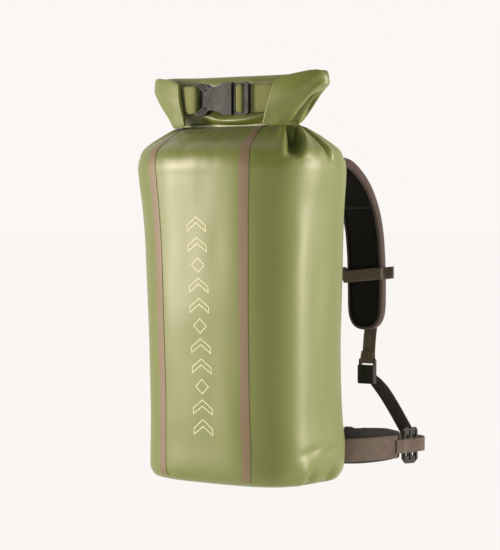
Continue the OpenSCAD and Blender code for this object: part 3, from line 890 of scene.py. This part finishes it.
def build_lining(side, s, across, share):
    """Mesh lining on the body side of the pad, drawn in at its cross seam."""
    p, n, lo, hi, along = pad_course()
    m = len(across)
    verts, uvs = [], []
    for i in range(len(p)):
        a, b = lo[i] + 3.2, hi[i] - 3.2
        drawn = 1.6 * math.exp(-((p[i][2] - LINING_SEAM_Z) / 2.2) ** 2)
        for u in across:
            x = a + (b - a) * u
            h = PAD_HALF - 1.3 + 1.5 * crown(u) - drawn + 0.25 * rough3((x, p[i][1], p[i][2]), 0.05, 4)
            verts.append(np.array([s * x, 0, 0]) + p[i] - n[i] * h)
            uvs.append((along[i] * MM, x * MM))
    top = len(verts)
    verts += [v + n[i // m] * 0.8 for i, v in enumerate(list(verts))]
    uvs += uvs
    faces = grid_faces(len(p), m) + grid_faces(len(p), m, offset=top, turn=True)
    for i in range(len(p) - 1):
        faces.append((i * m, (i + 1) * m, (i + 1) * m + top, i * m + top))
        k = i * m + m - 1
        faces.append((k + m, k, k + top, k + m + top))
    for j in range(m - 1):
        faces.append((j + 1, j, j + top, j + 1 + top))
        k = (len(p) - 1) * m + j
        faces.append((k, k + 1, k + 1 + top, k + top))
    if s > 0:
        faces = [f[::-1] for f in faces]
    lining = make_mesh("pad_mesh_" + side + "_cloth", np.array(verts) * MM, faces, MESH_CLOTH,
                       ["pad_mesh_" + side], ROOT, uvs)
    settle(lining, *AIR["pad"], 0.0013, np.tile(share, 2 * len(p)), s)


def build_shoulder_webbing(side, s):
    """Webbing sewn down the outer face of the pad, then round the ladder lock's bar."""
    p, n, _, _, _ = pad_course()
    path = [np.array([s * WEB_X, 0, 0]) + p[i] + n[i] * 8.2 for i in range(62, len(p), 7)]
    path += [(s * WEB_X, y, z) for y, z in (
        (211, 190), (208.9, 170), (209, 158.5), (207.5, 155.4), (205.5, 154.6), (203.4, 155.4),
        (202.2, 158.5), (203.6, 164), (205.6, 172))]
    name = "shoulder_webbing_" + side
    strap(name + "_web", path, (1, 0, 0), 22, 1.6, BROWN_WEB, [name])


def build_binding(side, s):
    """Binding tape folded over the pad's edge: a flat U round both edges and the tip."""
    p, n, lo, hi, _ = pad_course()
    last = len(p) - 1
    edge, frames = [], []
    for i in range(last + 1):
        edge.append(np.array([lo[i], 0, 0]) + p[i])
        frames.append(n[i])
    for k in range(1, 8):
        f = k / 8
        x = lo[last] + (hi[last] - lo[last]) * f
        edge.append(np.array([x, 0, -1.5 * math.sin(math.pi * f)]) + p[last])
        frames.append(n[last])
    for i in range(last, -1, -1):
        edge.append(np.array([hi[i], 0, 0]) + p[i])
        frames.append(n[i])
    edge, frames = np.array(edge), np.array(frames)
    for _ in range(6):
        edge[1:-1] = (edge[:-2] + 2 * edge[1:-1] + edge[2:]) / 4
    heading = unit_rows(np.gradient(edge, axis=0))
    inward = np.cross(heading, frames)
    h = PAD_HALF + 0.9
    lip = 4.2
    section = [(lip, h - 0.9), (lip, h), (lip * 0.5, h + 0.15), (0.9, h), (0.1, h - 1.1), (-0.4, 0),
               (0.1, -h + 1.1), (0.9, -h), (lip * 0.5, -h - 0.15), (lip, -h), (lip, -h + 0.9),
               (1.3, -h + 1.6), (0.8, 0), (1.3, h - 1.6)]
    along = np.concatenate([[0], np.cumsum(np.linalg.norm(np.diff(edge, axis=0), axis=1))])
    verts, uvs = [], []
    for i in range(len(edge)):
        for a, b in section:
            q = edge[i] + inward[i] * a + frames[i] * b
            verts.append((s * q[0] * MM, q[1] * MM, q[2] * MM))
            uvs.append((along[i] * MM, (a + b) * MM))
    m = len(section)
    faces = grid_faces(len(edge), m, wrap=True)
    faces.append(tuple(range(m))[::-1])
    faces.append(tuple(range((len(edge) - 1) * m, len(edge) * m)))
    if s > 0:
        faces = [f[::-1] for f in faces]
    make_mesh("pad_binding_" + side + "_tape", verts, faces, BINDING, ["pad_binding_" + side], ROOT, uvs)


def build_lower_webbing(side, s):
    """Darker webbing from the ladder lock down to the hip belt."""
    path = [(WEB_X, y, z) for y, z in (
        (203.5, 129), (203.5, 140.6), (204.6, 142.6), (206.8, 143.1), (209.2, 142.4), (211.6, 140))]
    path += [(WEB_X + 0.3, 215, 135.5), (WEB_X + 4, 222, 126), (85, 229, 109), (99.5, 232, 87)]
    path += [(114, 234, 64), (120, 236, 53)]
    across = [(1, 0, 0)] * 7 + [(0.93, 0.25, 0.28)] + [(0.72, 0.45, 0.52)] * 3 + [(0.6, 0.7, 0.35)]
    path = [(s * a, b, c) for a, b, c in path]
    across = [(a, s * b, s * c) for a, b, c in across]
    name = "lower_webbing_" + side
    web = strap(name + "_web", path, across, 19, 1.6, DARK_WEB, [name], None)
    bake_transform(web)


# ---------------------------------------------------------------- sternum strap
STERNUM_Z, STERNUM_Y, STERNUM_SIZE = 285.0, 221.0, 0.46


def build_sternum():
    """The strap across the chest and the webbing loops that keep it on the pads. It slides as one body."""
    body = "sternum_strap"
    z = STERNUM_Z
    left = [(-84, 219.3, z), (-34, 219.3, z), (-27, 219.25, z)] + fold_left(STERNUM_Y, z, STERNUM_SIZE)
    right = [(84, 219.3, z), (34, 219.3, z), (28, 220.4, z)] + thread_right(STERNUM_Y, z, STERNUM_SIZE)
    for side, path in (("left", left), ("right", right)):
        name = "sternum_strap_" + side
        strap(name + "_web", path, UP, 17, 0.8, BROWN_WEB, [name], body, 1.0)
    for side, s in (("left", -1), ("right", 1)):
        loop = [
            (114.8, 205.1), (103.5, 205), (101.2, 201), (100.6, 196), (97, 194), (66, 193.9),
            (38, 193.9), (34.9, 196), (34.5, 206), (34.9, 215.4), (38, 217.7), (66, 217.7),
            (97, 217.7), (100.8, 215.5), (101.2, 210), (103.5, 207), (114.8, 206.9),
        ]
        path = [(s * a, b, z + 0.10 * (a - 72)) for a, b in loop]
        name = "sternum_keeper_" + side
        strap(name + "_web", path, UP, 17.6, 1.6, BROWN_WEB, [name], body)


# ---------------------------------------------------------------- hip belt
HIP_Z, HIP_Y, HIP_SIZE = 34.0, 292.0, 0.58
# out along the right wing: x, y, lower edge, upper edge
WING = np.array([
    [50, 112, 16, 67], [70, 112.5, 15, 67], [88, 121.5, 14, 67], [101, 141, 13, 66], [108.5, 165, 13, 65],
    [114.5, 191, 14, 62], [120, 213, 17, 56],
])


def build_wing(side, s):
    """Padded wing with two sewn channels, and the broad band sewn on its outer face."""
    rows, along = curve_through(WING, 110)
    flat = np.column_stack([rows[:, :2], np.zeros(len(rows))])
    heading = unit_rows(np.gradient(flat, axis=0))
    n = np.cross(heading, [0, 0, 1])
    m = 48
    verts, uvs = [], []
    for i in range(len(rows)):
        z0, z1 = rows[i, 2], rows[i, 3]
        mid, tall = (z0 + z1) / 2, (z1 - z0) / 2
        ends = min(1.0, 0.45 + 0.55 * min(i, len(rows) - 1 - i) / 5)
        for j in range(m):
            a = 2 * math.pi * j / m
            c, d = math.cos(a), math.sin(a)
            r = (abs(c) ** 3 + abs(d) ** 3) ** (-1 / 3)
            h = 4.3 * ends * (0.82 + 0.18 * abs(c))
            high = r * d
            channels = math.exp(-((high - 0.62) / 0.05) ** 2) + math.exp(-((high + 0.62) / 0.05) ** 2)
            q = flat[i] + n[i] * (r * c * (h - channels)) + np.array([0, 0, mid + high * tall])
            verts.append((s * q[0] * MM, q[1] * MM, q[2] * MM))
            uvs.append((along[i] * MM, high * tall * MM))
    faces = grid_faces(len(rows), m, wrap=True)
    faces.append(tuple(range(m))[::-1])
    faces.append(tuple(range((len(rows) - 1) * m, len(rows) * m)))
    if s > 0:
        faces = [f[::-1] for f in faces]
    name = "hip_wing_" + side
    wing = make_mesh(name + "_foam", verts, faces, BLACK_CLOTH, [name], ROOT, uvs)
    if "wing" not in AIR:
        AIR["wing"] = puffed(wing, 0.004)
    settle(wing, *AIR["wing"], 0.0009, np.ones(len(verts)), s)
    band = [flat[i] + n[i] * 6.4 + np.array([0, 0, HIP_Z]) for i in range(14, len(rows), 8)]
    band = [(s * q[0], q[1], q[2]) for q in band]
    strap("hip_band_" + side + "_web", band, UP, 34, 1.6, BROWN_WEB, ["hip_band_" + side], step=1.5)


def build_hip_webbing():
    """Webbing from each adjuster round to the buckle at the middle of the hip belt."""
    z = HIP_Z
    common = [(125.4, 199.1, z), (128.8, 212.7, z), (128.8, 221.1, z), (129.9, 231.3, z), (132.4, 243, z),
              (134, 252, z), (132.5, 263, z)]
    right = common + [(126.5, 273, z), (117, 280.5, z), (103, 286.5, z), (84, 290.5, z), (60, 293.2, z)]
    right += [(40, 294.4, z)] + thread_right(HIP_Y, z, HIP_SIZE)
    left = mirror_path(common) + [(-126, 272, z), (-116, 278.5, z), (-103, 283, z), (-84, 286.6, z)]
    left += [(-60, 288.8, z), (-38, 289.6, z)] + fold_left(HIP_Y, z, HIP_SIZE)
    for side, path in (("right", right), ("left", left)):
        name = "hip_webbing_" + side
        strap(name + "_web", path, UP, 20, 1.0, BROWN_WEB, [name])


# ---------------------------------------------------------------- hard pieces keep their CAD solids
def finish_hard_pieces():
    """Gives the CAD solids that stay in view their material, and the plastic ones small bevels."""
    for name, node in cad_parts.items():
        hard = any(word in name for word in ("buckle", "prong", "ladder", "adjuster"))
        if not hard:
            continue
        node.data.materials.clear()
        node.data.materials.append(PLASTIC)
        bevel = node.modifiers.new("soft_edges", "BEVEL")
        bevel.width = 0.0003 if "sternum" in name else 0.0006
        bevel.segments = 2
        bevel.limit_method = "ANGLE"
    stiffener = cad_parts["mouth_stiffener"]
    stiffener.data.materials.clear()
    stiffener.data.materials.append(BLACK_CLOTH)


add_camera()
add_world()
add_floor()
add_backdrop()
add_area("key", (-2.05, -2.1, 0.62), (0, 0, 0.62), (0.6, 1.15), 73, (1.0, 0.87, 0.76))
add_area("side", (2.6, 1.45, 0.62), (0, 0, 0.62), (0.6, 1.15), 76, (1.0, 0.9, 0.77))
build_bag()
build_neck()
build_roll()
build_closure()
for side_name, side_sign in (("right", 1), ("left", -1)):
    build_pad(side_name, side_sign)
    build_lower_webbing(side_name, side_sign)
    build_wing(side_name, side_sign)
build_sternum()
build_hip_webbing()
finish_hard_pieces()

scene = bpy.context.scene
scene.view_settings.view_transform = "Standard"
scene.view_settings.look = "None"
